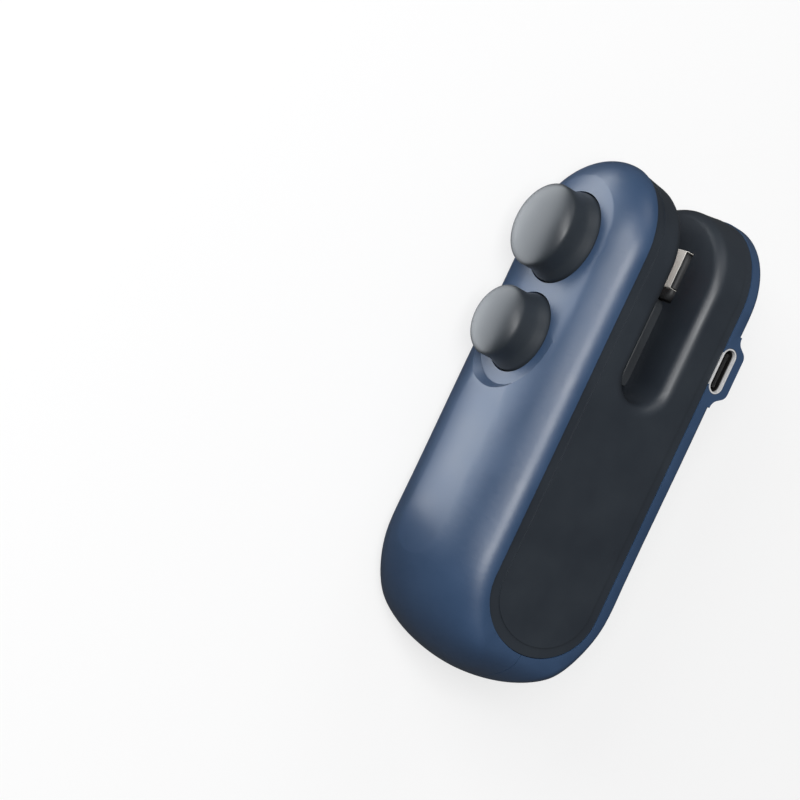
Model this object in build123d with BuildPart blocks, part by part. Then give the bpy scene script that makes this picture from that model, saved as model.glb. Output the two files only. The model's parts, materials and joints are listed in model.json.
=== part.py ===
"""Handheld bag heat sealer with a sealing knob and a cutting knob.

The part lies on its left cheek.  +X runs from the slot mouth at the tip to the
rounded bottom end, +Y runs from the knobs to the back cover, and +Z is up, through
the right cheek that carries the charging port.  All sizes are in millimetres.
"""
from build123d import *
import os
from math import cos, radians, sin, sqrt

os.makedirs("parts", exist_ok=True)

# Body, measured as distance from the tip and depth behind the flat front face
length = 97.2
tip_start = -0.5          # the rounded tip, just past the point that distances are measured from
half_width = 16.6
body_depth = 35.8
front_seam = 7.8          # depth where the front cover meets the dark core
back_seam = 33.2          # depth where the dark core meets the back cover
crown_reach = 8.34        # how far the crown of the front cover curves forward
end_crown = 8.0           # how much deeper the crown gets towards the bottom end
end_corner = 11.0         # how much rounder the back edges get towards the bottom end
tip_reach = 15.3          # distance at which the elliptical tip ends
close_from = 76.0         # distance at which the bottom end starts to close in depth
wall = 1.5
seam_gap = 0.12
edge_radius = 0.9
bump_height = 2.6

# Cheek panels and the bag slot
cheek_end = 88.8
cheek_reach = 10.9
rim_width = 2.0
rim_drop = 0.25
slot_front = 15.19
slot_back = 24.81
slot_end = 39.3
slot_wall = 1.6
slot_edge = 2.2
mouth_recess = 1.3        # how far the tips of the arms stand back at the slot
mouth_range = 12.7        # depth either side of the slot over which they do

# Knobs
seal_at = 17.05
cutter_at = 36.1
well_floor = 1.6
well_radius = 10.3
well_taper = 39
seal_base = 8.87
seal_waist = 8.25
seal_lip = 8.1
seal_hollow = 6.35
knob_height = 8.35
cutter_base = 7.62
cutter_waist = 7.0
cutter_lip = 6.85
cutter_hollow = 5.2
cutter_height = 8.3
knob_hole_gap = 0.28
waist_height = 1.9
dome_start = 5.4

# Sealing and cutting stations in the slot
heater_at = 12.65
heater_length = 7.05
pad_half_width = 6.4
heater_top = 23.75
tape_face = 23.4
anvil_top = 22.8
blade_at = 30.9
guard_face = 18.5

# Pieces pushed by the knobs
skirt = 3.0
knob_ceiling = 5.0
stem_socket = 2.0
seal_stem_radius = 2.5
cutter_stem_radius = 1.5
cutter_stem_end = 8.0
running_gap = 0.05
seal_flange = 12.25
cutter_flange = 12.75
flange_back = 13.55
guide_middle = 17.4
guide_long = 20.4
guide_wide = 17.2
guide_ears_long = 5.4
guide_ears_wide = 26.6
seal_sleeve_top = 6.2
seal_sleeve_radius = 4.2
cutter_guide_middle = 36.4
cutter_guide_long = 8.8
cutter_guide_wide = 14.0
cutter_sleeve_top = 3.2
cutter_sleeve_radius = 2.9
jaw_top = 13.65
jaw_thick = 2.55
jaw_long = 11.2
jaw_start = 8.75
pad_start = 9.0
pad_long = 7.3
pad_top = 17.6
pad_face = 18.55
guard_long = 4.2
guard_half = 5.6
blade_thickness = 0.5
blade_half = 3.9
blade_tip = 18.3
ring_depth = 1.6
switch_at = 25.25
switch_top = 10.45
switch_long = 4.0
switch_wide = 6.0
button_face = 9.45
button_end = 11.7
button_radius = 0.85
seal_coil = (5.2, 0.7, 6)     # radius, wire and turns of each spring
cutter_coil = (3.75, 0.6, 7)
blade_slope = 2.4
blade_root = 0.4
ring_radius = 7.3
ring_hole = 4.6

# Pieces in the back arm
base_start = 9.1
base_long = 9.5
tape_gap = 0.4            # room for the tape beside the heater block
tape_groove_at = 16.4
tape_groove_deep = 2.6
base_flange_long = 12.2
base_flange_wide = 17.2
tape_thickness = 0.18
base_half = 6.9
base_back = 28.0
element_middle = 12.65
element_long = 4.1
element_half = 6.0
element_strip = 0.15
element_deep = 5.0
anvil_start = 18.9
anvil_long = 17.4
anvil_half = 5.4
anvil_foot_at = 26.5
anvil_foot_long = 11.0
anvil_foot_deep = 2.6
anvil_slit_deep = 2.8

# Screws, as places (distance, height from the middle) or (distance, depth)
housing_screw_spots = [(50, 11.2), (78, 11.2), (50, 30.6), (78, 30.6)]
seal_screw_spots = [(seal_at, -11.6), (seal_at, 11.6)]
cutter_screw_spots = [(33.6, -5.4), (33.6, 5.4)]
board_screw_spots = [(36.5, -8), (36.5, 8), (16.4, -9.4)]
boss_radius = 2.2
screw_radius = 0.88
screw_head = 1.7
small_screw_radius = 0.75
small_screw_head = 1.35

# Charging port, board and battery
port_at = 26.4
port_depth = 34.99
port_long = 8.94
port_short = 3.26
port_deep = 7.35
board_front = 32.2
board_back = 33.3
board_middle = 26.9
board_shift = 1.7
board_long = 27.2
board_wide = 25.4
inductor_at = 27.5
inductor_size = 5.8
inductor_high = 2.4
cell_radius = 7.05
cell_length = 49.0
cell_start = 42.8
cell_depth = 21.0
tab_size = 4.5
tab_thickness = 0.15
cradle_at = 67
cradle_long = 41
cradle_wide = 12
cradle_floor = 1.2
saddle_spots = (48, 67, 86)
saddle_long = 1.8
saddle_high = 11.5

slot_middle = (slot_front + slot_back) / 2
slot_half = (slot_back - slot_front) / 2
seam_middle = (front_seam + back_seam) / 2
cheek_half = (back_seam - front_seam) / 2
end_middle = cheek_end - cheek_reach
end_length = length + tip_start   # distance of the bottom end
cut_margin = 0.03                 # how far the lofts stand out before they are cut flat
depth_middle = (body_depth + bump_height - (knob_height - well_floor)) / 2


def along(distance):
    """X of a point this far from the tip."""
    return distance - tip_start - length / 2


def deep(depth):
    """Y of a point this deep behind the flat front face."""
    return depth - depth_middle


def face_plane(depth):
    """Plane seen from the front: its first axis is X, its second runs down, its normal is +Y."""
    return Plane(origin=(0, deep(depth), half_width), x_dir=(1, 0, 0), z_dir=(0, 1, 0))


def side_plane(height):
    """Plane seen from the side at this height from the middle plane."""
    return Plane.XY.offset(half_width + height)


def finish(piece, name):
    """Name a finished piece and write its file."""
    piece.label = name
    export_step(piece, f"parts/{name}.step")


def body_section(x, half_height, front_edge, crown, back, corner):
    """Closed outline of the body across its length: a crowned front and a flat back."""
    plane = Plane(origin=(x, 0, half_width), x_dir=(0, 1, 0), z_dir=(1, 0, 0))
    front_y = deep(front_edge)
    corner_y = deep(back) - corner
    corner_z = half_height - corner
    with BuildSketch(plane) as outline:
        with BuildLine():
            EllipticalCenterArc((front_y, 0), crown, half_height, 90, arc_size=180)
            Line((front_y, -half_height), (corner_y, -half_height))
            CenterArc((corner_y, -corner_z), corner, 270, arc_size=90)
            Line((deep(back), -corner_z), (deep(back), corner_z))
            CenterArc((corner_y, corner_z), corner, 0, arc_size=90)
            Line((corner_y, half_height), (front_y, half_height))
        make_face()
    return outline.sketch


def body_sections(inset):
    """Outlines from the tip to the bottom end, each this far inside the outer surface."""
    sections = []
    angles = (87, 80, 72, 63, 54, 45, 36, 27, 18, 9)
    wide = half_width - inset + cut_margin
    crown = crown_reach - inset
    back = body_depth - inset + cut_margin
    for angle in angles:
        size = cos(radians(angle))
        x = along(tip_reach - (tip_reach - tip_start - inset) * sin(radians(angle)))
        corner = min(edge_radius, 0.8 * wide * size)
        sections.append(body_section(x, wide * size, front_seam, crown * size, back, corner))
    middle = (tip_reach + close_from) / 2
    for distance in (tip_reach, tip_reach + 4, middle, close_from - 4, close_from):
        sections.append(body_section(along(distance), wide, front_seam, crown, back, edge_radius))
    # The bottom end closes in depth over its whole reach, and in width past the cheeks
    close_reach = end_length - inset - close_from
    last_reach = end_length - inset - cheek_end
    for angle in reversed(angles):
        size = cos(radians(angle))
        distance = close_from + close_reach * sin(radians(angle))
        past_cheek = max(0, distance - cheek_end) / last_reach
        tall = wide * sqrt(1 - past_cheek**2)
        front_reach = (seam_middle - front_seam + crown) * size
        depth = size * (crown + end_crown * (1 - size))
        corner = size * (edge_radius + end_corner * (1 - size) ** 0.8)
        front_edge = seam_middle - front_reach + depth
        end = seam_middle + (back - seam_middle) * size
        sections.append(body_section(along(distance), tall, front_edge, depth, end, corner))
    return sections


def body_form(inset):
    """Solid body this far inside the outer surface, cut flat on its front, back and cheeks."""
    with BuildPart() as form:
        for outline in body_sections(inset):
            add(outline)
        loft()
        with BuildSketch(face_plane(inset)):
            Rectangle(2 * length, 2 * (half_width - inset))
        extrude(amount=body_depth - 2 * inset, mode=Mode.INTERSECT)
    return form.part


def tongue_form(margin):
    """Prism through both cheeks: the window that the dark core fills, grown by a margin."""
    with BuildPart() as form:
        with BuildSketch(side_plane(-2 * half_width)):
            with Locations((along(end_middle), deep(seam_middle))):
                Ellipse(cheek_reach + margin, cheek_half + margin)
            with Locations((along(end_middle / 2 - 10), deep(seam_middle))):
                Rectangle(end_middle + 20, 2 * (cheek_half + margin))
        extrude(amount=4 * half_width)
    return form.part


def slot_form(margin):
    """Prism through both cheeks: the bag slot with its round end, grown by a margin."""
    with BuildPart() as form:
        with BuildSketch(side_plane(-2 * half_width)):
            with Locations((along(slot_end - slot_half), deep(slot_middle))):
                Circle(slot_half + margin)
            with Locations((along((slot_end - slot_half) / 2 - 10), deep(slot_middle))):
                Rectangle(slot_end - slot_half + 20, 2 * (slot_half + margin))
        extrude(amount=4 * half_width)
    return form.part


def arm_form(inset, start, depth):
    """Body of the core from one depth through a thickness.  Its tip stands back at the slot."""
    steps = 6
    straight = length - tip_reach
    with BuildPart() as form:
        for step in range(steps + 1):
            level = start + depth * step / steps
            recess = mouth_recess * (1 - ((level - slot_middle) / mouth_range) ** 2)
            with BuildSketch(face_plane(level)):
                with Locations((along(tip_reach), 0)):
                    Ellipse(tip_reach - tip_start - recess - inset, half_width - inset)
                with Locations((along(tip_reach) + straight / 2, 0)):
                    Rectangle(straight, 4 * half_width, mode=Mode.SUBTRACT)
        loft()
        with BuildSketch(face_plane(start)):
            with Locations((along(tip_reach) + straight / 2, 0)):
                Rectangle(straight, 2 * (half_width - inset))
        extrude(amount=depth)
    return form.part


outer_form = body_form(0)
inner_form = body_form(wall)
window = tongue_form(seam_gap)

# Blue front cover
with BuildPart() as front_shell:
    add(outer_form)
    add(inner_form, mode=Mode.SUBTRACT)
    with BuildSketch(face_plane(well_floor)):
        with Locations((along((seal_at + cutter_at) / 2), 0)):
            SlotCenterToCenter(cutter_at - seal_at, 2 * well_radius + 4)
    extrude(amount=wall)
    add(outer_form, mode=Mode.INTERSECT)
    add(window, mode=Mode.SUBTRACT)
    with BuildSketch(face_plane(seam_middle - seam_gap / 2)):
        Rectangle(2 * length, 4 * half_width)
    extrude(amount=body_depth, mode=Mode.SUBTRACT)
    with BuildSketch(face_plane(well_floor)):
        with Locations((along((seal_at + cutter_at) / 2), 0)):
            SlotCenterToCenter(cutter_at - seal_at, 2 * well_radius)
    extrude(amount=-well_floor, taper=-well_taper, mode=Mode.SUBTRACT)
    with BuildSketch(face_plane(well_floor)):
        with Locations((along(cutter_at / 2 - 10), 0)):
            Rectangle(cutter_at + 20, 3 * half_width)
    extrude(amount=-well_floor, mode=Mode.SUBTRACT)
    with BuildSketch(face_plane(-1)):
        with Locations((along(seal_at), 0)):
            Circle(seal_base + knob_hole_gap)
        with Locations((along(cutter_at), 0)):
            Circle(cutter_base + knob_hole_gap)
    extrude(amount=front_seam, mode=Mode.SUBTRACT)
finish(front_shell.part, "front_shell")

# Blue back cover, with the bump that houses the charging port
bump_foot = 11.8
bump_flat = 8.5
bump_width = 9.4
bump_skirt = 14.2
bump_low = deep(body_depth - wall)
bump_back = deep(body_depth)
with BuildPart() as port_bump:
    with BuildSketch(side_plane(half_width - bump_width)) as bump_outline:
        with BuildLine():
            Polyline(
                (along(port_at) - bump_skirt / 2, bump_low),
                (along(port_at) - bump_skirt / 2, bump_back),
                (along(port_at) - bump_foot / 2, bump_back),
                (along(port_at) - bump_flat / 2, bump_back + bump_height),
                (along(port_at) + bump_flat / 2, bump_back + bump_height),
                (along(port_at) + bump_foot / 2, bump_back),
                (along(port_at) + bump_skirt / 2, bump_back),
                (along(port_at) + bump_skirt / 2, bump_low),
                close=True,
            )
        make_face()
        fillet(bump_outline.vertices().group_by(Axis.Y)[-1], 1.7)
        feet = bump_outline.vertices().filter_by_position(Axis.Y, bump_back - 0.01, bump_back + 0.01)
        fillet(feet.sort_by(Axis.X)[1:-1], 1.9)
    extrude(amount=bump_width)
    inner_edges = port_bump.faces().sort_by(Axis.Z)[0].edges()
    fillet(inner_edges.group_by(Axis.Y)[-1], 1.4)

with BuildPart() as port_hole:
    with BuildSketch(side_plane(half_width - port_deep - 0.2)):
        with Locations((along(port_at), deep(port_depth))):
            SlotOverall(port_long + 0.16, port_short + 0.16)
    extrude(amount=port_deep + 1)

with BuildPart() as back_shell:
    add(outer_form)
    add(inner_form, mode=Mode.SUBTRACT)
    add(window, mode=Mode.SUBTRACT)
    with BuildSketch(face_plane(seam_middle + seam_gap / 2)):
        Rectangle(2 * length, 4 * half_width)
    extrude(amount=-2 * body_depth, mode=Mode.SUBTRACT)
    add(port_bump.part)
    add(port_hole.part, mode=Mode.SUBTRACT)
    with BuildSketch(face_plane(board_back)):
        for distance, height in board_screw_spots:
            with Locations((along(distance), -height)):
                Circle(1.9)
    extrude(amount=body_depth - wall / 2 - board_back)
    with BuildSketch(face_plane(board_back)):
        for distance, height in board_screw_spots:
            with Locations((along(distance), -height)):
                Circle(small_screw_radius)
    extrude(amount=1.8, mode=Mode.SUBTRACT)
finish(back_shell.part, "back_shell")

# Dark core: cheeks, arms and slot walls, split into two halves on the middle plane
with BuildPart() as core_hollow:
    add(arm_form(wall, front_seam - 1, back_seam - front_seam + 2))
    add(slot_form(slot_wall), mode=Mode.SUBTRACT)

with BuildPart() as rim_form:
    add(arm_form(rim_drop, front_seam, back_seam - front_seam))
    add(tongue_form(0), mode=Mode.INTERSECT)

with BuildPart() as core:
    add(arm_form(0, front_seam + rim_width, back_seam - front_seam - 2 * rim_width))
    add(tongue_form(-rim_width), mode=Mode.INTERSECT)
    add(rim_form.part)
    add(slot_form(0), mode=Mode.SUBTRACT)
    mouth_edges = [
        edge
        for edge in core.edges(Select.LAST)
        if not (edge.geom_type == GeomType.LINE and abs((edge % 0.5).Z) > 0.9)
    ]
    fillet(mouth_edges, slot_edge)
    add(core_hollow.part, mode=Mode.SUBTRACT)
    # Bosses for the housing screws, and the guard round the blade
    with BuildSketch(side_plane(-half_width + wall / 2)):
        for distance, depth in housing_screw_spots:
            with Locations((along(distance), deep(depth))):
                Circle(boss_radius)
    extrude(amount=2 * half_width - wall)
    with BuildSketch(face_plane(slot_front - slot_wall / 2)):
        with Locations((along(blade_at), 0)):
            Rectangle(guard_long, 2 * guard_half)
    extrude(amount=guard_face - slot_front + slot_wall / 2)
    # Openings for the jaw and the blade in the front wall of the slot
    with BuildSketch(face_plane(slot_front - 2 * slot_wall)):
        with Locations((along(blade_at), 0)):
            Rectangle(blade_thickness + 0.5, 2 * blade_half + 0.8)
        with Locations((along(jaw_start + jaw_long / 2), 0)):
            Rectangle(jaw_long + 0.6, 2 * pad_half_width + 0.6)
    extrude(amount=6.6, mode=Mode.SUBTRACT)
    # Openings for the heater and the anvil's foot in the back wall of the slot
    with BuildSketch(face_plane(slot_back - 0.5)):
        with Locations((along(base_start + base_long / 2), 0)):
            Rectangle(base_long + 2 * tape_gap, 2 * base_half + running_gap)
        with Locations((along(anvil_foot_at), 0)):
            Rectangle(anvil_foot_long + 0.1, 2 * anvil_half - 2.9)
    extrude(amount=slot_wall + 1, mode=Mode.SUBTRACT)
    # Holes for the guide screws and the housing screws
    with BuildSketch(face_plane(slot_front - 2 * slot_wall)):
        for distance, height in seal_screw_spots + cutter_screw_spots:
            with Locations((along(distance), -height)):
                Circle(small_screw_radius)
    extrude(amount=2.8, mode=Mode.SUBTRACT)
    with BuildSketch(side_plane(-half_width)):
        for distance, depth in housing_screw_spots:
            with Locations((along(distance), deep(depth))):
                Circle(screw_radius)
    extrude(amount=half_width + 8, mode=Mode.SUBTRACT)
    with BuildSketch(side_plane(-half_width)):
        for distance, depth in housing_screw_spots:
            with Locations((along(distance), deep(depth))):
                Circle(screw_head + 0.2)
    extrude(amount=2.0, mode=Mode.SUBTRACT)

with BuildPart() as core_right:
    add(core.part)
    split(bisect_by=side_plane(0), keep=Keep.TOP)
finish(core_right.part, "core_right")

with BuildPart() as core_left:
    add(core.part)
    split(bisect_by=side_plane(0), keep=Keep.BOTTOM)
finish(core_left.part, "core_left")

# Four housing screws with cross heads, driven from the left cheek
with BuildPart() as housing_screws:
    with BuildSketch(side_plane(-half_width + 0.6)):
        for distance, depth in housing_screw_spots:
            with Locations((along(distance), deep(depth))):
                Circle(screw_head)
    extrude(amount=1.4)
    with BuildSketch(side_plane(-half_width + 0.6)):
        for distance, depth in housing_screw_spots:
            with Locations((along(distance), deep(depth))):
                Circle(screw_radius)
    extrude(amount=half_width + 6)
    with BuildSketch(side_plane(-half_width + 0.6)):
        for distance, depth in housing_screw_spots:
            with Locations((along(distance), deep(depth))):
                Rectangle(2.1, 0.5)
                Rectangle(0.5, 2.1)
    extrude(amount=0.7, mode=Mode.SUBTRACT)
finish(housing_screws.part, "housing_screws")


def knob_form(at, base, waist, lip, top, hollow, stem):
    """Push knob: a skirt in the cover's hole, a slightly flared side and a dome."""
    floor_y = deep(well_floor)
    dome_y = floor_y - dome_start
    x = along(at)
    with BuildPart() as knob:
        with BuildSketch(side_plane(0)):
            with BuildLine():
                Polyline(
                    (x, floor_y - top),
                    (x, floor_y + skirt),
                    (x + base, floor_y + skirt),
                    (x + base, floor_y),
                )
                Spline(
                    (x + base, floor_y),
                    (x + waist, floor_y - waist_height),
                    (x + lip, dome_y),
                    tangents=[(-0.2, -1), (0, -1)],
                )
                EllipticalCenterArc((x, dome_y), lip, top - dome_start, 270)
            make_face()
        revolve(axis=Axis((x, 0, half_width), (0, 1, 0)))
        with BuildSketch(face_plane(well_floor + skirt)):
            with Locations((x, 0)):
                Circle(hollow)
        extrude(amount=-(skirt + knob_ceiling), mode=Mode.SUBTRACT)
        with BuildSketch(face_plane(well_floor - knob_ceiling)):
            with Locations((x, 0)):
                Circle(stem)
        extrude(amount=-stem_socket, mode=Mode.SUBTRACT)
    return knob.part


def rod(at, radius, start, end):
    """Round rod on a knob's axis, from one depth to another."""
    with BuildPart() as piece:
        with BuildSketch(face_plane(start)):
            with Locations((along(at), 0)):
                Circle(radius)
        extrude(amount=end - start)
    return piece.part


def spring_form(at, coil_size, start, end):
    """Coil spring on a knob's axis, from one depth to another."""
    radius, wire, turns = coil_size
    foot = (along(at), deep(start + wire / 2), half_width)
    height = end - start - wire
    with BuildPart() as piece:
        with BuildLine() as coil:
            Helix(height / turns, height, radius, center=foot, direction=(0, 1, 0))
        with BuildSketch(Plane(origin=coil.line @ 0, z_dir=coil.line % 0)):
            Circle(wire / 2)
        sweep(is_frenet=True)
    return piece.part


# Sealing knob and the pieces that it pushes onto the heater
seal_sizes = (seal_base, seal_waist, seal_lip, knob_height, seal_hollow)
finish(knob_form(seal_at, *seal_sizes, seal_stem_radius), "seal_knob")
stem_top = well_floor - knob_ceiling - stem_socket
seal_stem = rod(seal_at, seal_stem_radius, stem_top, jaw_top + 2)
finish(seal_stem, "seal_stem")
spring_top = well_floor - knob_ceiling
finish(spring_form(seal_at, seal_coil, spring_top, seal_flange), "seal_spring")

with BuildPart() as seal_guide:
    with BuildSketch(face_plane(seal_flange)):
        with Locations((along(guide_middle), 0)):
            Rectangle(guide_long, guide_wide)
        with Locations((along(seal_at), 0)):
            Rectangle(guide_ears_long, guide_ears_wide)
    extrude(amount=flange_back - seal_flange)
    fillet(seal_guide.edges().filter_by(Axis.Y), 1.0)
    with BuildSketch(face_plane(seal_sleeve_top)):
        with Locations((along(seal_at), 0)):
            Circle(seal_sleeve_radius)
    extrude(amount=seal_flange - seal_sleeve_top)
    with BuildSketch(face_plane(seal_sleeve_top)):
        with Locations((along(seal_at), 0)):
            Circle(seal_stem_radius + running_gap)
        for distance, height in seal_screw_spots:
            with Locations((along(distance), -height)):
                Circle(small_screw_radius)
    extrude(amount=10, mode=Mode.SUBTRACT)
finish(seal_guide.part, "seal_guide")

with BuildPart() as seal_jaw:
    with BuildSketch(face_plane(jaw_top)):
        with Locations((along(jaw_start + jaw_long / 2), 0)):
            Rectangle(jaw_long, 2 * pad_half_width)
    extrude(amount=jaw_thick)
    with BuildSketch(face_plane(jaw_top + jaw_thick)):
        with Locations((along(pad_start + pad_long / 2), 0)):
            Rectangle(pad_long + 0.3, 2 * pad_half_width)
    extrude(amount=pad_top - jaw_top - jaw_thick)
    fillet(seal_jaw.edges().filter_by(Axis.Y), 0.1)
    add(seal_stem, mode=Mode.SUBTRACT)
finish(seal_jaw.part, "seal_jaw")

with BuildPart() as jaw_pad:
    with BuildSketch(face_plane(pad_top)):
        with Locations((along(pad_start + pad_long / 2), 0)):
            RectangleRounded(pad_long, 2 * pad_half_width, 0.7)
    extrude(amount=pad_face - pad_top)
    fillet(jaw_pad.faces().sort_by(Axis.Y)[-1].edges(), 0.3)
finish(jaw_pad.part, "jaw_pad")

# Heater switch under the rim of the sealing knob
with BuildPart() as heat_switch:
    with BuildSketch(face_plane(switch_top)):
        with Locations((along(switch_at), 0)):
            RectangleRounded(switch_long, switch_wide, 0.4)
            Circle(button_radius + running_gap, mode=Mode.SUBTRACT)
    extrude(amount=seal_flange - switch_top)
finish(heat_switch.part, "heat_switch")
finish(rod(switch_at, button_radius, button_face, button_end), "switch_button")

# Cutting knob and the pieces that it pushes through the film
cutter_sizes = (cutter_base, cutter_waist, cutter_lip, cutter_height, cutter_hollow)
finish(knob_form(cutter_at, *cutter_sizes, cutter_stem_radius), "cutter_knob")
finish(rod(cutter_at, cutter_stem_radius, stem_top, cutter_stem_end), "cutter_stem")
finish(spring_form(cutter_at, cutter_coil, spring_top, cutter_flange), "cutter_spring")

with BuildPart() as cutter_guide:
    with BuildSketch(face_plane(cutter_flange)):
        with Locations((along(cutter_guide_middle), 0)):
            RectangleRounded(cutter_guide_long, cutter_guide_wide, 1)
    extrude(amount=flange_back - cutter_flange)
    with BuildSketch(face_plane(cutter_sleeve_top)):
        with Locations((along(cutter_at), 0)):
            Circle(cutter_sleeve_radius)
    extrude(amount=cutter_flange - cutter_sleeve_top)
    with BuildSketch(face_plane(cutter_sleeve_top)):
        with Locations((along(cutter_at), 0)):
            Circle(cutter_stem_radius + running_gap)
        for distance, height in cutter_screw_spots:
            with Locations((along(distance), -height)):
                Circle(small_screw_radius)
    extrude(amount=12, mode=Mode.SUBTRACT)
finish(cutter_guide.part, "cutter_guide")

ring_top = well_floor + skirt
blade_plane = Plane(
    origin=(along(blade_at) - blade_thickness / 2, 0, half_width), x_dir=(0, 1, 0), z_dir=(1, 0, 0)
)
with BuildPart() as cutter_blade:
    with BuildSketch(blade_plane):
        with BuildLine():
            Polyline(
                (deep(ring_top + blade_root), -blade_half),
                (deep(blade_tip - blade_slope), -blade_half),
                (deep(blade_tip), 0),
                (deep(blade_tip - blade_slope), blade_half),
                (deep(ring_top + blade_root), blade_half),
                close=True,
            )
        make_face()
    extrude(amount=blade_thickness)
finish(cutter_blade.part, "cutter_blade")

with BuildPart() as blade_carrier:
    with BuildSketch(face_plane(ring_top)):
        with Locations((along(cutter_at), 0)):
            Circle(ring_radius)
            Circle(ring_hole, mode=Mode.SUBTRACT)
    extrude(amount=ring_depth)
    add(cutter_blade.part, mode=Mode.SUBTRACT)
finish(blade_carrier.part, "blade_carrier")


def small_screws(spots, head_top, shank):
    """Small pan-head screws that point away from the front face."""
    with BuildPart() as screws:
        with BuildSketch(face_plane(head_top)):
            for distance, height in spots:
                with Locations((along(distance), -height)):
                    Circle(small_screw_head)
        extrude(amount=1.0)
        with BuildSketch(face_plane(head_top)):
            for distance, height in spots:
                with Locations((along(distance), -height)):
                    Rectangle(1.8, 0.4)
                    Rectangle(0.4, 1.8)
        extrude(amount=0.5, mode=Mode.SUBTRACT)
        with BuildSketch(face_plane(head_top + 0.6)):
            for distance, height in spots:
                with Locations((along(distance), -height)):
                    Circle(small_screw_radius)
        extrude(amount=shank + 0.4)
    return screws.part


with BuildPart() as guide_screws:
    add(small_screws(seal_screw_spots, seal_flange - 1, 2.5))
    add(small_screws(cutter_screw_spots, cutter_flange - 1, 2.0))
finish(guide_screws.part, "guide_screws")
finish(small_screws(board_screw_spots, board_front - 1, 2.8), "board_screws")

# Heater on the back arm
with BuildPart() as heating_element:
    with BuildSketch(face_plane(heater_top - element_strip)):
        with Locations((along(element_middle), 0)):
            Rectangle(element_long, 2 * element_half)
    extrude(amount=element_deep)
    with BuildSketch(face_plane(heater_top)):
        with Locations((along(element_middle), 0)):
            Rectangle(element_long, 2 * element_half - 2 * element_strip)
    extrude(amount=element_deep, mode=Mode.SUBTRACT)
finish(heating_element.part, "heating_element")

with BuildPart() as heater_base:
    with BuildSketch(face_plane(heater_top)):
        with Locations((along(base_start + base_long / 2), 0)):
            RectangleRounded(base_long, 2 * base_half, 1.6)
    extrude(amount=base_back - heater_top)
    fillet(heater_base.faces().sort_by(Axis.Y)[0].edges(), 0.8)
    with BuildSketch(face_plane(slot_back + slot_wall + running_gap)):
        with Locations((along(base_start + base_long / 2), 0)):
            RectangleRounded(base_flange_long, base_flange_wide, 1)
    extrude(amount=base_back - slot_back - slot_wall - running_gap)
    with BuildSketch(face_plane(heater_top)):
        with Locations((along(tape_groove_at), 0)):
            Rectangle(tape_gap, 2 * base_half)
    extrude(amount=tape_groove_deep, mode=Mode.SUBTRACT)
    for side in (-1, 1):
        with BuildSketch(face_plane(heater_top)):
            with Locations((along(element_middle), side * (element_half - element_strip / 2))):
                Rectangle(element_long + running_gap, element_strip + running_gap)
        extrude(amount=base_back, mode=Mode.SUBTRACT)
finish(heater_base.part, "heater_base")

with BuildPart() as heater_tape:
    with BuildSketch(face_plane(tape_face)):
        with Locations((along(heater_at), 0)):
            RectangleRounded(heater_length, 2 * pad_half_width, 0.8)
    extrude(amount=tape_thickness)
finish(heater_tape.part, "heater_tape")

# Anvil that the blade runs into, with a foot through the slot's back wall
with BuildPart() as cutter_anvil:
    with BuildSketch(face_plane(anvil_top)):
        with Locations((along(anvil_start + anvil_long / 2), 0)):
            Rectangle(anvil_long, 2 * anvil_half)
    extrude(amount=slot_back - anvil_top)
    tip_corners = cutter_anvil.edges().filter_by(Axis.Y).group_by(Axis.X)[0]
    fillet(tip_corners, 2.0)
    fillet(cutter_anvil.faces().sort_by(Axis.Y)[0].edges(), 0.5)
    add(slot_form(-0.02), mode=Mode.INTERSECT)
    with BuildSketch(face_plane(slot_back - 0.5)):
        with Locations((along(anvil_foot_at), 0)):
            Rectangle(anvil_foot_long, 2 * anvil_half - 3)
    extrude(amount=anvil_foot_deep)
    with BuildSketch(face_plane(anvil_top - 1)):
        with Locations((along(blade_at), 0)):
            Rectangle(blade_thickness + 0.6, 2 * blade_half + 1)
    extrude(amount=anvil_slit_deep, mode=Mode.SUBTRACT)
finish(cutter_anvil.part, "cutter_anvil")

# Charging board in the back arm
with BuildPart() as charge_board:
    with BuildSketch(face_plane(board_front)):
        with Locations((along(board_middle), -board_shift)):
            RectangleRounded(board_long, board_wide, 1.5)
        for distance, height in board_screw_spots:
            with Locations((along(distance), -height)):
                Circle(small_screw_radius + 0.02, mode=Mode.SUBTRACT)
    extrude(amount=board_back - board_front)
finish(charge_board.part, "charge_board")

chip_sizes = [
    (21.0, -3.4, 5.0, 5.0, 1.0),
    (27.5, -8.0, 3.0, 3.0, 0.9),
    (33.0, 4.2, 3.6, 4.0, 1.2),
    (22.0, 6.0, 3.2, 1.6, 0.8),
    (22.0, 9.5, 3.2, 1.6, 0.8),
    (33.5, -4.5, 1.6, 3.2, 0.8),
]
with BuildPart() as board_chips:
    for distance, height, size_x, size_z, thickness in chip_sizes:
        with BuildSketch(face_plane(board_front)):
            with Locations((along(distance), -height)):
                Rectangle(size_x, size_z)
        extrude(amount=-thickness)
finish(board_chips.part, "board_chips")

with BuildPart() as board_inductor:
    with BuildSketch(face_plane(board_front)):
        with Locations((along(inductor_at), 0)):
            RectangleRounded(inductor_size, inductor_size, 1.2)
    extrude(amount=-inductor_high)
    with BuildSketch(face_plane(board_front - inductor_high)):
        with Locations((along(inductor_at), 0)):
            Circle(2.1)
    extrude(amount=0.4, mode=Mode.SUBTRACT)
finish(board_inductor.part, "board_inductor")

# Charging receptacle: shell, tongue and contacts
port_wall = 0.28
port_face = half_width - 0.02
with BuildPart() as usb_shell:
    with BuildSketch(side_plane(port_face - port_deep)):
        with Locations((along(port_at), deep(port_depth))):
            SlotOverall(port_long, port_short)
    extrude(amount=port_deep)
    with BuildSketch(side_plane(port_face - port_deep + 0.3)):
        with Locations((along(port_at), deep(port_depth))):
            SlotOverall(port_long - 2 * port_wall, port_short - 2 * port_wall)
    extrude(amount=port_deep, mode=Mode.SUBTRACT)
finish(usb_shell.part, "usb_shell")

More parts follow.
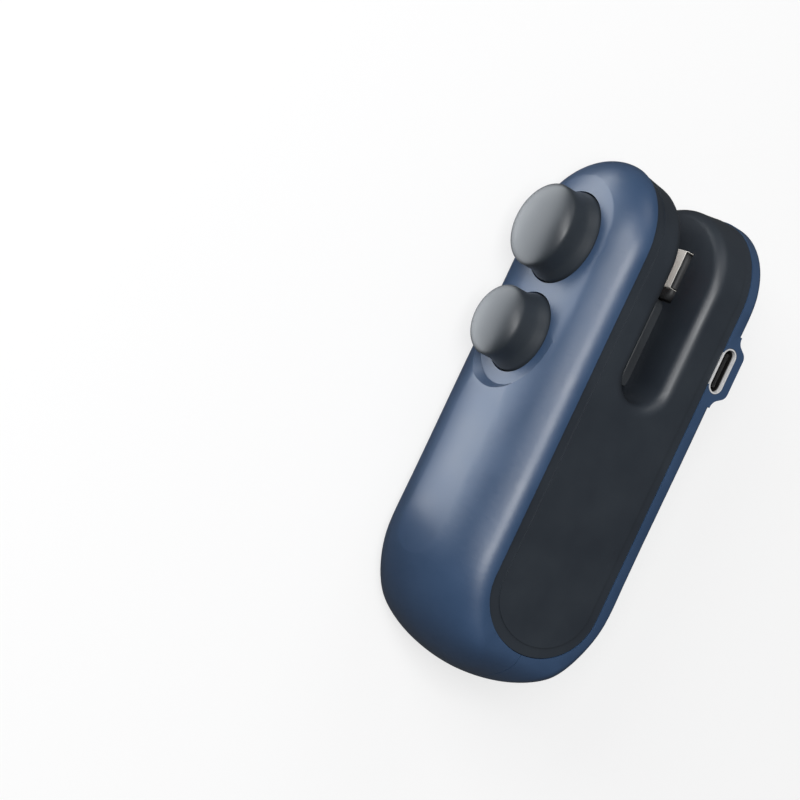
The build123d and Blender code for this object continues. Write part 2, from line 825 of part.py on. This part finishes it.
tongue_foot = port_face - port_deep + 0.3
with BuildPart() as usb_tongue:
    with BuildSketch(side_plane(tongue_foot)):
        with Locations((along(port_at), deep(port_depth))):
            SlotOverall(port_long - 2 * port_wall - 0.04, port_short - 2 * port_wall - 0.04)
    extrude(amount=1.4)
    with BuildSketch(side_plane(tongue_foot)):
        with Locations((along(port_at), deep(port_depth))):
            Rectangle(6.7, 0.7)
    extrude(amount=6.3)
finish(usb_tongue.part, "usb_tongue")

with BuildPart() as usb_contacts:
    for side in (-1, 1):
        with BuildSketch(side_plane(tongue_foot + 1.5)):
            with Locations((along(port_at), deep(port_depth + side * 0.38))):
                with GridLocations(1.0, 1, 6, 1):
                    Rectangle(0.4, 0.06)
        extrude(amount=4.2)
finish(usb_contacts.part, "usb_contacts")

# Battery cell in the handle, its tabs and its cradle
cell_plane = Plane(origin=(along(cell_start), deep(cell_depth), half_width), z_dir=(1, 0, 0))
with BuildPart() as battery_cell:
    with BuildSketch(cell_plane):
        Circle(cell_radius)
    extrude(amount=cell_length)
    fillet(battery_cell.edges(), 0.5)
finish(battery_cell.part, "battery_cell")

with BuildPart() as battery_tabs:
    for start in (cell_start - tab_thickness, cell_start + cell_length):
        with BuildSketch(Plane(origin=(along(start), deep(cell_depth), half_width), z_dir=(1, 0, 0))):
            Rectangle(tab_size, tab_size)
        extrude(amount=tab_thickness)
finish(battery_tabs.part, "battery_tabs")

with BuildPart() as battery_cradle:
    with BuildSketch(side_plane(-half_width + wall + 0.1)):
        with Locations((along(cradle_at), deep(cell_depth))):
            Rectangle(cradle_long, cradle_wide)
    extrude(amount=cradle_floor)
    for distance in saddle_spots:
        with BuildSketch(side_plane(-half_width + wall + 0.1)):
            with Locations((along(distance), deep(cell_depth))):
                Rectangle(saddle_long, cradle_wide + 0.6)
        extrude(amount=saddle_high)
    with BuildSketch(cell_plane):
        Circle(cell_radius + 0.1)
    extrude(amount=cell_length, mode=Mode.SUBTRACT)
finish(battery_cradle.part, "battery_cradle")


def lead(points, bend, radius):
    """Insulated lead along straight runs joined by arcs.  Points are (distance, depth, height)."""
    route = [(along(distance), deep(depth), half_width + height) for distance, depth, height in points]
    with BuildPart() as piece:
        with BuildLine() as path:
            FilletPolyline(*route, radius=bend)
        with BuildSketch(Plane(origin=path.line @ 0, z_dir=path.line % 0)):
            Circle(radius)
        sweep()
    return piece.part


plus_route = [(42.1, 22, 2), (42.1, 29.8, 2), (38.8, 29.8, 2), (38.8, 32.2, 2)]
minus_route = [(92.45, 20, 0), (92.45, 20, 9.2), (44.2, 20, 9.2), (44.2, 29.8, 9.2), (38.8, 29.8, 9.2)]
minus_route += [(38.8, 32.2, 9.2)]
finish(lead(plus_route, 1.1, 0.45), "battery_lead_plus")
finish(lead(minus_route, 1.1, 0.45), "battery_lead_minus")

with BuildPart() as heater_leads:
    for side in (-1, 1):
        height = side * (element_half - 0.5)
        add(lead([(13.6, 28.5, height), (13.6, 30.2, height), (16.4, 30.2, height), (16.4, 32.2, height)], 0.8, 0.4))
finish(heater_leads.part, "heater_leads")

with BuildPart() as switch_leads:
    for start, end, height in ((25.9, 43.4, 11.8), (24.6, 44.8, 13.2)):
        add(
            lead(
                [
                    (start, 11.4, 3.0),
                    (start, 11.4, height),
                    (end, 11.4, height),
                    (end, 29.8, height),
                    (38.8, 29.8, height),
                    (38.8, 32.2, height),
                ],
                1.1,
                0.35,
            )
        )
finish(switch_leads.part, "switch_leads")
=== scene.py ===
import json
import math
import bmesh
import bpy
from mathutils import Matrix, Vector


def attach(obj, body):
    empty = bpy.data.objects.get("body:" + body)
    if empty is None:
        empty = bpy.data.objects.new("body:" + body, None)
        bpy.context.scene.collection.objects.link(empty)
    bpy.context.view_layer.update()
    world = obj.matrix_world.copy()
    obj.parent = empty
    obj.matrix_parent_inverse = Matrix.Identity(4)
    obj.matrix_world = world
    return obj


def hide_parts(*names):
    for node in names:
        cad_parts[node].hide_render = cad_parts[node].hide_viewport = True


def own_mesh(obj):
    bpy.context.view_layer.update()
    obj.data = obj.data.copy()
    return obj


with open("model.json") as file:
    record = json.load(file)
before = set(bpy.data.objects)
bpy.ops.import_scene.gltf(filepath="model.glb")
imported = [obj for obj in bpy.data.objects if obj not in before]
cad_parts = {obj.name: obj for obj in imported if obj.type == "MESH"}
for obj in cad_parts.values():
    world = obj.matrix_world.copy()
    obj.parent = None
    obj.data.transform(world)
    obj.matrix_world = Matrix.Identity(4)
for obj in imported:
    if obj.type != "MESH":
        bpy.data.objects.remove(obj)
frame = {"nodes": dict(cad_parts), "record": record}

mm = 0.001

# Millimetres from the tip and from the front face to the frame's origin, and the height of the knobs' axes
tipToMiddle = 48.1
frontToMiddle = 15.825
axisHeight = 16.6

scene = bpy.context.scene
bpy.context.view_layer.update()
slotOf = {row["node"]: row["material_slot"] for row in frame["record"]["subparts"]}
bodyOf = {node: body for body, nodes in frame["record"]["behaviour"]["bodies"].items() for node in nodes}


def link(thing):
    scene.collection.objects.link(thing)
    return thing


# Camera, floor and light
view = {
    "place": (22.19 * mm, -285.9 * mm, 392.4 * mm),
    "right": (-0.4287, 0.7411, 0.5166),
    "up": (-0.9029, -0.3700, -0.2185),
    "back": (0.0293, -0.5602, 0.8279),
    "lens": 115,
    "sensor": 36,
}


def makeCamera():
    data = bpy.data.cameras.new("viewCamera")
    data.lens = view["lens"]
    data.sensor_width = view["sensor"]
    data.clip_start = 10 * mm
    data.clip_end = 20
    eye = link(bpy.data.objects.new("viewCamera", data))
    turn = Matrix((view["right"], view["up"], view["back"])).transposed()
    eye.matrix_world = Matrix.Translation(view["place"]) @ turn.to_4x4()
    scene.camera = eye


studio = {
    "floorSize": 6.0,
    "floorTone": 0.25,
    "floorGlow": 0.69,      # how bright the floor itself looks to the camera
    "sky": 0.20,
    "skyShine": 0.10,       # how bright the sky looks in reflections
    "card": (-0.075, -0.085, 0.025, -0.022),
    "cardHeight": 0.0005,
    "cardShine": 5.0,
}
lamps = {
    "keyLamp": {"at": (-0.30, -0.80, 0.42), "size": 0.45, "watts": 5.0},
    "sideLamp": {"at": (-0.75, -0.15, 0.45), "size": 0.5, "watts": 1.2},
    "viewLamp": {"at": (-0.06, -0.50, 0.78), "size": 0.35, "watts": 6.5},
}


def flatPlane(name, left, near, right, far, height):
    mesh = bpy.data.meshes.new(name)
    corners = [(left, near, height), (right, near, height), (right, far, height), (left, far, height)]
    mesh.from_pydata(corners, [], [(0, 1, 2, 3)])
    plane = link(bpy.data.objects.new(name, mesh))
    paint = bpy.data.materials.new(name + "Paint")
    paint.use_nodes = True
    mesh.materials.append(paint)
    return plane, paint.node_tree


# The floor takes soft shadows, and looks evenly pale to the camera
def makeFloor():
    half = studio["floorSize"] / 2
    floor, tree = flatPlane("floor", -half, -half, half, half, 0)
    floor.visible_glossy = False
    shader = tree.nodes["Principled BSDF"]
    tone = studio["floorTone"]
    shader.inputs["Base Color"].default_value = (tone, tone, tone, 1)
    shader.inputs["Roughness"].default_value = 1.0
    shader.inputs["Specular IOR Level"].default_value = 0.0
    shader.inputs["Emission Color"].default_value = (1, 1, 1, 1)
    path = tree.nodes.new("ShaderNodeLightPath")
    glow = tree.nodes.new("ShaderNodeMath")
    glow.operation = "MULTIPLY"
    glow.inputs[1].default_value = studio["floorGlow"]
    tree.links.new(path.outputs["Is Camera Ray"], glow.inputs[0])
    tree.links.new(glow.outputs[0], shader.inputs["Emission Strength"])


# A bright card beside the knobs, seen only in reflections
def makeCard():
    card, tree = flatPlane("reflectorCard", *studio["card"], studio["cardHeight"])
    card.visible_camera = False
    card.visible_diffuse = False
    card.visible_shadow = False
    shader = tree.nodes["Principled BSDF"]
    shader.inputs["Base Color"].default_value = (0, 0, 0, 1)
    shader.inputs["Emission Color"].default_value = (0.92, 0.96, 1.0, 1)
    shader.inputs["Emission Strength"].default_value = studio["cardShine"]


def makeSky():
    sky = bpy.data.worlds.new("sky")
    scene.world = sky
    sky.use_nodes = True
    tree = sky.node_tree
    ground = tree.nodes["Background"]
    ground.inputs["Color"].default_value = (0.97, 0.985, 1.0, 1)
    path = tree.nodes.new("ShaderNodeLightPath")
    level = tree.nodes.new("ShaderNodeMapRange")
    level.inputs["To Min"].default_value = studio["sky"]
    level.inputs["To Max"].default_value = studio["skyShine"]
    tree.links.new(path.outputs["Is Glossy Ray"], level.inputs["Value"])
    tree.links.new(level.outputs["Result"], ground.inputs["Strength"])


def makeLamp(name, at, size, watts):
    data = bpy.data.lights.new(name, "AREA")
    data.size = size
    data.energy = watts
    lamp = link(bpy.data.objects.new(name, data))
    lamp.location = at
    lamp.rotation_mode = "QUATERNION"
    lamp.rotation_quaternion = (-Vector(at)).to_track_quat("-Z", "Y")


makeCamera()
makeFloor()
makeCard()
makeSky()
for lampName, lampSpec in lamps.items():
    makeLamp(lampName, **lampSpec)
scene.view_settings.view_transform = "Standard"
print("camera, floor and light are set")


# Effects shared by the finishes, as node groups
def newGroup(name, inputs, outputs):
    group = bpy.data.node_groups.new(name, "ShaderNodeTree")
    for label, kind, value in inputs:
        socket = group.interface.new_socket(label, in_out="INPUT", socket_type=kind)
        socket.default_value = value
    for label, kind in outputs:
        group.interface.new_socket(label, in_out="OUTPUT", socket_type=kind)
    return group, group.nodes.new("NodeGroupInput"), group.nodes.new("NodeGroupOutput")


def addNode(tree, kind, **settings):
    node = tree.nodes.new(kind)
    for key, value in settings.items():
        setattr(node, key, value)
    return node


# Links or sets the two inputs of a math node and gives its output.
def mathNode(tree, operation, first, second):
    node = addNode(tree, "ShaderNodeMath", operation=operation)
    for place, value in enumerate((first, second)):
        if isinstance(value, (int, float)):
            node.inputs[place].default_value = value
        else:
            tree.links.new(value, node.inputs[place])
    return node.outputs[0]


# Spark-eroded skin of a moulding: a fine grain on a slightly uneven surface.
def makeMouldGrain():
    group, start, end = newGroup(
        "mouldGrain",
        [("Grain Size", "NodeSocketFloat", 0.25), ("Unevenness", "NodeSocketFloat", 0.3)],
        [("Height", "NodeSocketFloat"), ("Cloud", "NodeSocketFloat")],
    )
    place = group.nodes.new("ShaderNodeTexCoord")
    scale = mathNode(group, "DIVIDE", 1000.0, start.outputs["Grain Size"])
    fine = addNode(group, "ShaderNodeTexNoise")
    fine.inputs["Detail"].default_value = 3
    broad = addNode(group, "ShaderNodeTexNoise")
    broad.inputs["Scale"].default_value = 90
    broad.inputs["Detail"].default_value = 4
    for noise in (fine, broad):
        group.links.new(place.outputs["Object"], noise.inputs["Vector"])
    group.links.new(scale, fine.inputs["Scale"])
    swell = mathNode(group, "MULTIPLY", broad.outputs["Fac"], start.outputs["Unevenness"])
    group.links.new(mathNode(group, "ADD", fine.outputs["Fac"], swell), end.inputs["Height"])
    group.links.new(broad.outputs["Fac"], end.inputs["Cloud"])
    return group


# Fine parallel marks left by drawing or grinding, along one axis.
def makeToolMarks():
    group, start, end = newGroup(
        "toolMarks",
        [("Stretch", "NodeSocketVector", (1, 1, 1))],
        [("Height", "NodeSocketFloat"), ("Cloud", "NodeSocketFloat")],
    )
    place = group.nodes.new("ShaderNodeTexCoord")
    scaled = addNode(group, "ShaderNodeVectorMath", operation="MULTIPLY")
    group.links.new(place.outputs["Object"], scaled.inputs[0])
    group.links.new(start.outputs["Stretch"], scaled.inputs[1])
    streak = addNode(group, "ShaderNodeTexNoise")
    streak.inputs["Scale"].default_value = 1500
    streak.inputs["Detail"].default_value = 2
    group.links.new(scaled.outputs[0], streak.inputs["Vector"])
    group.links.new(streak.outputs["Fac"], end.inputs["Height"])
    group.links.new(streak.outputs["Fac"], end.inputs["Cloud"])
    return group


cloudRange = (0.35, 0.65)       # where most of a noise texture's values lie


# Two close shades of a colour mixed by a cloud, so that no surface is one flat colour.
def makeTint():
    group, start, end = newGroup(
        "cloudTint",
        [("Low", "NodeSocketColor", (0, 0, 0, 1)), ("High", "NodeSocketColor", (1, 1, 1, 1)),
         ("Cloud", "NodeSocketFloat", 0.5)],
        [("Color", "NodeSocketColor")],
    )
    spread = addNode(group, "ShaderNodeMapRange")
    spread.inputs["From Min"].default_value = cloudRange[0]
    spread.inputs["From Max"].default_value = cloudRange[1]
    mix = addNode(group, "ShaderNodeMix", data_type="RGBA")
    group.links.new(start.outputs["Cloud"], spread.inputs["Value"])
    group.links.new(spread.outputs["Result"], mix.inputs["Factor"])
    group.links.new(start.outputs["Low"], mix.inputs[6])
    group.links.new(start.outputs["High"], mix.inputs[7])
    group.links.new(mix.outputs[2], end.inputs["Color"])
    return group


groups = {"grain": makeMouldGrain(), "marks": makeToolMarks(), "tint": makeTint()}

# Colours are linear; grain is in mm, depth is the bump's height in mm
finishes = {
    "blue_cover": {
        "low": (0.0230, 0.0490, 0.1020), "high": (0.0270, 0.0560, 0.1150),
        "rough": 0.42, "grain": 0.22, "depth": 0.010, "coat": 0.12,
    },
    "dark_core": {
        "low": (0.0150, 0.0195, 0.0265), "high": (0.0180, 0.0235, 0.0310),
        "rough": 0.46, "grain": 0.26, "depth": 0.016, "coat": 0.05,
    },
    "knob_grey": {
        "low": (0.0180, 0.0230, 0.0290), "high": (0.0210, 0.0265, 0.0330),
        "rough": 0.46, "grain": 0.18, "depth": 0.006,
    },
    "white_nylon": {
        "low": (0.66, 0.65, 0.60), "high": (0.72, 0.71, 0.67),
        "rough": 0.45, "grain": 0.3, "depth": 0.006,
    },
    "spring_steel": {
        "low": (0.52, 0.52, 0.52), "high": (0.64, 0.64, 0.64),
        "rough": 0.26, "marks": (1, 1, 1), "depth": 0.002, "metal": 1.0,
    },
    "blade_steel": {
        "low": (0.60, 0.60, 0.61), "high": (0.70, 0.70, 0.71),
        "rough": 0.22, "marks": (1, 1, 8), "depth": 0.002, "metal": 1.0,
    },
    "screw_steel": {
        "low": (0.36, 0.36, 0.35), "high": (0.46, 0.46, 0.45),
        "rough": 0.34, "marks": (1, 1, 1), "depth": 0.003, "metal": 1.0,
    },
    "silicone": {
        "low": (0.42, 0.07, 0.045), "high": (0.48, 0.09, 0.06),
        "rough": 0.55, "grain": 0.2, "depth": 0.006,
    },
    "switch_black": {
        "low": (0.018, 0.018, 0.019), "high": (0.024, 0.024, 0.025),
        "rough": 0.42, "grain": 0.2, "depth": 0.006,
    },
    "heater_block": {
        "low": (0.020, 0.021, 0.023), "high": (0.028, 0.029, 0.031),
        "rough": 0.62, "grain": 0.3, "depth": 0.02,
    },
    "heater_alloy": {
        "low": (0.40, 0.38, 0.35), "high": (0.50, 0.47, 0.43),
        "rough": 0.35, "marks": (8, 1, 1), "depth": 0.002, "metal": 1.0,
    },
    "glass_tape": {
        "low": (0.76, 0.74, 0.69), "high": (0.86, 0.84, 0.79),
        "rough": 0.50, "grain": 0.12, "depth": 0.008, "coat": 0.1,
    },
    "anvil_grey": {
        "low": (0.024, 0.028, 0.033), "high": (0.030, 0.035, 0.041),
        "rough": 0.55, "grain": 0.3, "depth": 0.012,
    },
    "board_green": {
        "low": (0.010, 0.085, 0.032), "high": (0.014, 0.105, 0.042),
        "rough": 0.30, "grain": 0.5, "depth": 0.004, "coat": 0.4,
    },
    "chip_black": {
        "low": (0.012, 0.012, 0.013), "high": (0.018, 0.018, 0.019),
        "rough": 0.5, "grain": 0.1, "depth": 0.003,
    },
    "ferrite": {
        "low": (0.030, 0.030, 0.032), "high": (0.042, 0.042, 0.045),
        "rough": 0.6, "grain": 0.2, "depth": 0.01,
    },
    "port_metal": {
        "low": (0.80, 0.80, 0.80), "high": (0.88, 0.88, 0.88),
        "rough": 0.34, "marks": (1, 1, 6), "depth": 0.001, "metal": 0.45,
        "paintedShadeBelow": 32.2, "paintedShadeTop": 32.6,      # z in mm: painted shade below the first height, fading out by the second, so only its top rim is bright
    },
    "port_black": {
        "low": (0.010, 0.010, 0.010), "high": (0.014, 0.014, 0.014),
        "rough": 0.35, "grain": 0.1, "depth": 0.003,
    },
    "contact_gold": {
        "low": (0.72, 0.48, 0.17), "high": (0.82, 0.57, 0.22),
        "rough": 0.22, "marks": (1, 1, 6), "depth": 0.001, "metal": 1.0,
    },
    "cell_wrap": {
        "low": (0.035, 0.150, 0.420), "high": (0.045, 0.180, 0.480),
        "rough": 0.28, "grain": 0.8, "depth": 0.006, "coat": 0.4,
    },
    "nickel": {
        "low": (0.56, 0.54, 0.50), "high": (0.66, 0.64, 0.60),
        "rough": 0.30, "marks": (1, 8, 1), "depth": 0.001, "metal": 1.0,
    },
    "lead_red": {
        "low": (0.46, 0.018, 0.012), "high": (0.54, 0.026, 0.018),
        "rough": 0.35, "grain": 0.3, "depth": 0.003,
    },
    "lead_black": {
        "low": (0.012, 0.012, 0.012), "high": (0.018, 0.018, 0.018),
        "rough": 0.35, "grain": 0.3, "depth": 0.003,
    },
    "lead_white": {
        "low": (0.62, 0.61, 0.57), "high": (0.70, 0.69, 0.65),
        "rough": 0.38, "grain": 0.3, "depth": 0.003,
    },
}


def makeFinish(name, spec):
    material = bpy.data.materials.new(name)
    material.use_nodes = True
    tree = material.node_tree
    shader = tree.nodes["Principled BSDF"]
    skin = addNode(tree, "ShaderNodeGroup")
    if "grain" in spec:
        skin.node_tree = groups["grain"]
        skin.inputs["Grain Size"].default_value = spec["grain"]
    else:
        skin.node_tree = groups["marks"]
        skin.inputs["Stretch"].default_value = spec["marks"]
    tint = addNode(tree, "ShaderNodeGroup", node_tree=groups["tint"])
    tint.inputs["Low"].default_value = (*spec["low"], 1)
    tint.inputs["High"].default_value = (*spec["high"], 1)
    tree.links.new(skin.outputs["Cloud"], tint.inputs["Cloud"])
    tree.links.new(tint.outputs["Color"], shader.inputs["Base Color"])
    sheen = addNode(tree, "ShaderNodeMapRange")      # roughness wanders a little with the cloud
    sheen.inputs["From Min"].default_value = 0.3
    sheen.inputs["From Max"].default_value = 0.7
    sheen.inputs["To Min"].default_value = spec["rough"] * 0.9
    sheen.inputs["To Max"].default_value = spec["rough"] * 1.12
    tree.links.new(skin.outputs["Cloud"], sheen.inputs["Value"])
    tree.links.new(sheen.outputs["Result"], shader.inputs["Roughness"])
    # Painted shade: below a given height the finish is blended to near black, standing in for the shade
    # inside the port, so only its top rim shows bright
    if "paintedShadeBelow" in spec:
        place = addNode(tree, "ShaderNodeTexCoord")
        split = addNode(tree, "ShaderNodeSeparateXYZ")
        paintedShadeRamp = addNode(tree, "ShaderNodeMapRange")
        paintedShadeRamp.inputs["From Min"].default_value = spec["paintedShadeBelow"] * mm
        paintedShadeRamp.inputs["From Max"].default_value = spec["paintedShadeTop"] * mm
        shade = addNode(tree, "ShaderNodeMix", data_type="RGBA")
        # the near-black colour of the painted shade
        shade.inputs[6].default_value = (0.02, 0.02, 0.02, 1)
        tree.links.new(place.outputs["Object"], split.inputs[0])
        tree.links.new(split.outputs["Z"], paintedShadeRamp.inputs["Value"])
        tree.links.new(paintedShadeRamp.outputs["Result"], shade.inputs["Factor"])
        tree.links.new(tint.outputs["Color"], shade.inputs[7])
        tree.links.new(shade.outputs[2], shader.inputs["Base Color"])
    bump = addNode(tree, "ShaderNodeBump")
    bump.inputs["Distance"].default_value = spec["depth"] * mm
    bump.inputs["Strength"].default_value = 0.6
    tree.links.new(skin.outputs["Height"], bump.inputs["Height"])
    tree.links.new(bump.outputs["Normal"], shader.inputs["Normal"])
    shader.inputs["Metallic"].default_value = spec.get("metal", 0.0)
    shader.inputs["Coat Weight"].default_value = spec.get("coat", 0.0)
    shader.inputs["Coat Roughness"].default_value = 0.3
    return material


materials = {name: makeFinish(name, spec) for name, spec in finishes.items()}
print(len(materials), "finishes are made")


# The moulded and cut pieces, from the frame's own nodes
creaseAngle = math.radians(28)
weldDistance = 0.002 * mm


# A copy of a node as one closed mesh, smooth except at its real edges.
def weldedCopy(nodeName, pieceName):
    mesh = frame["nodes"][nodeName].data.copy()
    mesh.name = pieceName
    work = bmesh.new()
    work.from_mesh(mesh)
    bmesh.ops.remove_doubles(work, verts=work.verts, dist=weldDistance)
    bmesh.ops.dissolve_degenerate(work, edges=work.edges, dist=weldDistance)
    work.to_mesh(mesh)
    work.free()
    for attribute in ("custom_normal", "sharp_edge", "sharp_face"):
        if attribute in mesh.attributes:
            mesh.attributes.remove(mesh.attributes[attribute])
    mesh.shade_smooth()
    mesh.set_sharp_from_angle(angle=creaseAngle)
    return link(bpy.data.objects.new(pieceName, mesh))


def faceOutwards(mesh):
    work = bmesh.new()
    work.from_mesh(mesh)
    bmesh.ops.recalc_face_normals(work, faces=work.faces)
    work.to_mesh(mesh)
    work.free()


# Gives a piece its finish and its body, and hides the node that it stands for.
def settle(piece, nodeName):
    piece.data.materials.clear()
    piece.data.materials.append(materials[slotOf[nodeName]])
    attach(piece, bodyOf[nodeName])
    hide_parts(nodeName)


welded = {
    "front_shell": "front_cover",
    "back_shell": "back_cover",
    "core_right": "right_core_half",
    "core_left": "left_core_half",
    "seal_knob": "sealing_knob",
    "cutter_knob": "cutting_knob",
    "jaw_pad": "sealing_pad",
    "seal_jaw": "sealing_jaw",
    "heater_base": "heater_block",
    "cutter_anvil": "cutting_anvil",
    "usb_shell": "port_shell",
    "usb_tongue": "port_tongue",
    "battery_cell": "battery",
    "seal_stem": "sealing_stem",
    "cutter_stem": "cutting_stem",
    "seal_guide": "sealing_guide",
    "cutter_guide": "cutting_guide",
    "battery_cradle": "battery_holder",
    "board_inductor": "inductor",
    "heater_leads": "heater_wires",
    "switch_leads": "switch_wires",
    "battery_lead_plus": "red_battery_wire",
    "battery_lead_minus": "black_battery_wire",
}
for nodeName, pieceName in welded.items():
    settle(weldedCopy(nodeName, pieceName), nodeName)
print(len(welded), "pieces are welded and smoothed")

# The woven glass tape over the heater: one sheet folded down both sides of the block
tape = {
    "length": 12.0,
    "width": 12.8,
    "first": 9.15 - tipToMiddle,       # x where the flat part starts and ends
    "last": 16.15 - tipToMiddle,
    "level": 23.49 - frontToMiddle,    # y of its middle layer
    "bend": 0.25,
    "middle": axisHeight,
    "half": 0.05,
    "pitch": 0.48,
    "relief": 0.018,
    "cell": 0.08,
}


# The place and outward normal at a distance along the tape, in mm
def tapePoint(along):
    bend = tape["bend"]
    curve = bend * math.pi / 2
    flat = tape["last"] - tape["first"]
    drop = (tape["length"] - flat - 2 * curve) / 2
    if along < drop:
        return tape["first"] - bend, tape["level"] + bend + drop - along, -1, 0
    along -= drop
    if along < curve:
        turn = along / bend
        across, down = -math.cos(turn), -math.sin(turn)
        return tape["first"] + bend * across, tape["level"] + bend + bend * down, across, down
    along -= curve
    if along < flat:
        return tape["first"] + along, tape["level"], 0, -1
    along -= flat
    if along < curve:
        turn = along / bend
        across, down = math.sin(turn), -math.cos(turn)
        return tape["last"] + bend * across, tape["level"] + bend + bend * down, across, down
    along -= curve
    return tape["last"] + bend, tape["level"] + bend + along, 1, 0


# Warp and weft pass over each other by turns, so the surface is a checker of small pillows
def weaveHeight(along, across):
    warp = math.cos(2 * math.pi * along / tape["pitch"])
    weft = math.cos(2 * math.pi * across / tape["pitch"])
    return tape["relief"] * (0.6 * warp * weft + 0.2 * (warp + weft) - 0.4)


def makeTape():
    rows = round(tape["length"] / tape["cell"])
    columns = round(tape["width"] / tape["cell"])
    points = []
    for side in (1, -1):
        for row in range(rows + 1):
            along = tape["length"] * row / rows
            x, y, outX, outY = tapePoint(along)
            for column in range(columns + 1):
                across = tape["width"] * (column / columns - 0.5)
                rise = side * tape["half"] + weaveHeight(along, across)
                place = Vector((x + outX * rise, y + outY * rise, tape["middle"] + across))
                points.append(place * mm)
    faces = []
    wide = columns + 1
    under = (rows + 1) * wide
    for row in range(rows):
        for column in range(columns):
            corner = row * wide + column
            loop = (corner, corner + wide, corner + wide + 1, corner + 1)
            faces.append(loop)
            faces.append(tuple(under + spot for spot in reversed(loop)))
    rim = list(range(columns))
    rim += [row * wide + columns for row in range(rows)]
    rim += [rows * wide + column for column in range(columns, 0, -1)]
    rim += [row * wide for row in range(rows, 0, -1)]
    for spot, following in zip(rim, rim[1:] + rim[:1]):
        faces.append((spot, following, under + following, under + spot))
    mesh = bpy.data.meshes.new("heater_cloth")
    mesh.from_pydata(points, [], faces)
    faceOutwards(mesh)
    mesh.shade_smooth()
    cloth = link(bpy.data.objects.new("heater_cloth", mesh))
    settle(cloth, "heater_tape")


makeTape()
print("the heater tape is woven")


# Coil springs, each one node tree with named inputs
springs = {
    "seal_spring": {
        "piece": "sealing_spring", "joint": "seal_knob_press", "keep": 0.69,
        "at": 17.05 - tipToMiddle, "from": -3.4 - frontToMiddle, "to": 12.25 - frontToMiddle,
        "Radius": 5.2, "Wire": 0.7, "Turns": 6.0,
    },
    "cutter_spring": {
        "piece": "cutting_spring", "joint": "cutter_knob_press", "keep": 0.68,
        "at": 36.1 - tipToMiddle, "from": -3.4 - frontToMiddle, "to": 12.75 - frontToMiddle,
        "Radius": 3.75, "Wire": 0.6, "Turns": 7.0,
    },
}


stepsPerTurn = 48
wireSides = 16


def makeCoilTree():
    tree = bpy.data.node_groups.new("coilSpring", "GeometryNodeTree")
    tree.interface.new_socket("Geometry", in_out="OUTPUT", socket_type="NodeSocketGeometry")
    for label in ("Radius", "Wire", "Turns", "Height"):
        tree.interface.new_socket(label, in_out="INPUT", socket_type="NodeSocketFloat")
    tree.interface.new_socket("Place", in_out="INPUT", socket_type="NodeSocketVector")
    tree.interface.new_socket("Finish", in_out="INPUT", socket_type="NodeSocketMaterial")
    start = tree.nodes.new("NodeGroupInput")
    coil = addNode(tree, "GeometryNodeCurveSpiral")
    coil.inputs["Resolution"].default_value = stepsPerTurn
    ring = addNode(tree, "GeometryNodeCurvePrimitiveCircle")
    ring.inputs["Resolution"].default_value = wireSides
    sweep = addNode(tree, "GeometryNodeCurveToMesh")
    sweep.inputs["Fill Caps"].default_value = True
    shift = addNode(tree, "GeometryNodeTransform")
    shift.inputs["Rotation"].default_value = (-math.pi / 2, 0, 0)
    single = addNode(tree, "GeometryNodeRealizeInstances")
    coat = addNode(tree, "GeometryNodeSetMaterial")
    tree.links.new(start.outputs["Turns"], coil.inputs["Rotations"])
    tree.links.new(start.outputs["Radius"], coil.inputs["Start Radius"])
    tree.links.new(start.outputs["Radius"], coil.inputs["End Radius"])
    tree.links.new(start.outputs["Height"], coil.inputs["Height"])
    tree.links.new(mathNode(tree, "MULTIPLY", start.outputs["Wire"], 0.5), ring.inputs["Radius"])
    tree.links.new(coil.outputs["Curve"], sweep.inputs["Curve"])
    tree.links.new(ring.outputs["Curve"], sweep.inputs["Profile Curve"])
    tree.links.new(sweep.outputs["Mesh"], shift.inputs["Geometry"])
    tree.links.new(start.outputs["Place"], shift.inputs["Translation"])
    tree.links.new(shift.outputs["Geometry"], single.inputs["Geometry"])
    tree.links.new(single.outputs["Geometry"], coat.inputs["Geometry"])
    tree.links.new(start.outputs["Finish"], coat.inputs["Material"])
    finish = tree.nodes.new("NodeGroupOutput")
    tree.links.new(coat.outputs["Geometry"], finish.inputs["Geometry"])
    return tree


def grow(name, tree, settings):
    seed = link(bpy.data.objects.new(name + "Seed", bpy.data.meshes.new(name + "Seed")))
    modifier = seed.modifiers.new("grow", "NODES")
    modifier.node_group = tree
    for socket in tree.interface.items_tree:
        if socket.item_type == "SOCKET" and socket.in_out == "INPUT":
            modifier[socket.identifier] = settings[socket.name]
    bpy.context.view_layer.update()
    mesh = bpy.data.meshes.new_from_object(seed.evaluated_get(bpy.context.evaluated_depsgraph_get()))
    bpy.data.objects.remove(seed)
    faceOutwards(mesh)
    mesh.shade_smooth()
    mesh.set_sharp_from_angle(angle=creaseAngle)
    return link(bpy.data.objects.new(name, mesh))


coilTree = makeCoilTree()
for nodeName, spec in springs.items():
    wire = spec["Wire"]
    spring = grow(spec["piece"], coilTree, {
        "Radius": spec["Radius"] * mm,
        "Wire": wire * mm,
        "Turns": spec["Turns"],
        "Height": (spec["to"] - spec["from"] - wire) * mm,
        "Place": (spec["at"] * mm, (spec["from"] + wire / 2) * mm, axisHeight * mm),
        "Finish": materials["spring_steel"],
    })
    settle(spring, nodeName)
    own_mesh(spring)
print(len(springs), "springs are coiled")


# The other pieces are the frame's own nodes, with a finish
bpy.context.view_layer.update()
for nodeName, node in frame["nodes"].items():
    if not node.hide_render:
        node.data.materials.clear()
        node.data.materials.append(materials[slotOf[nodeName]])
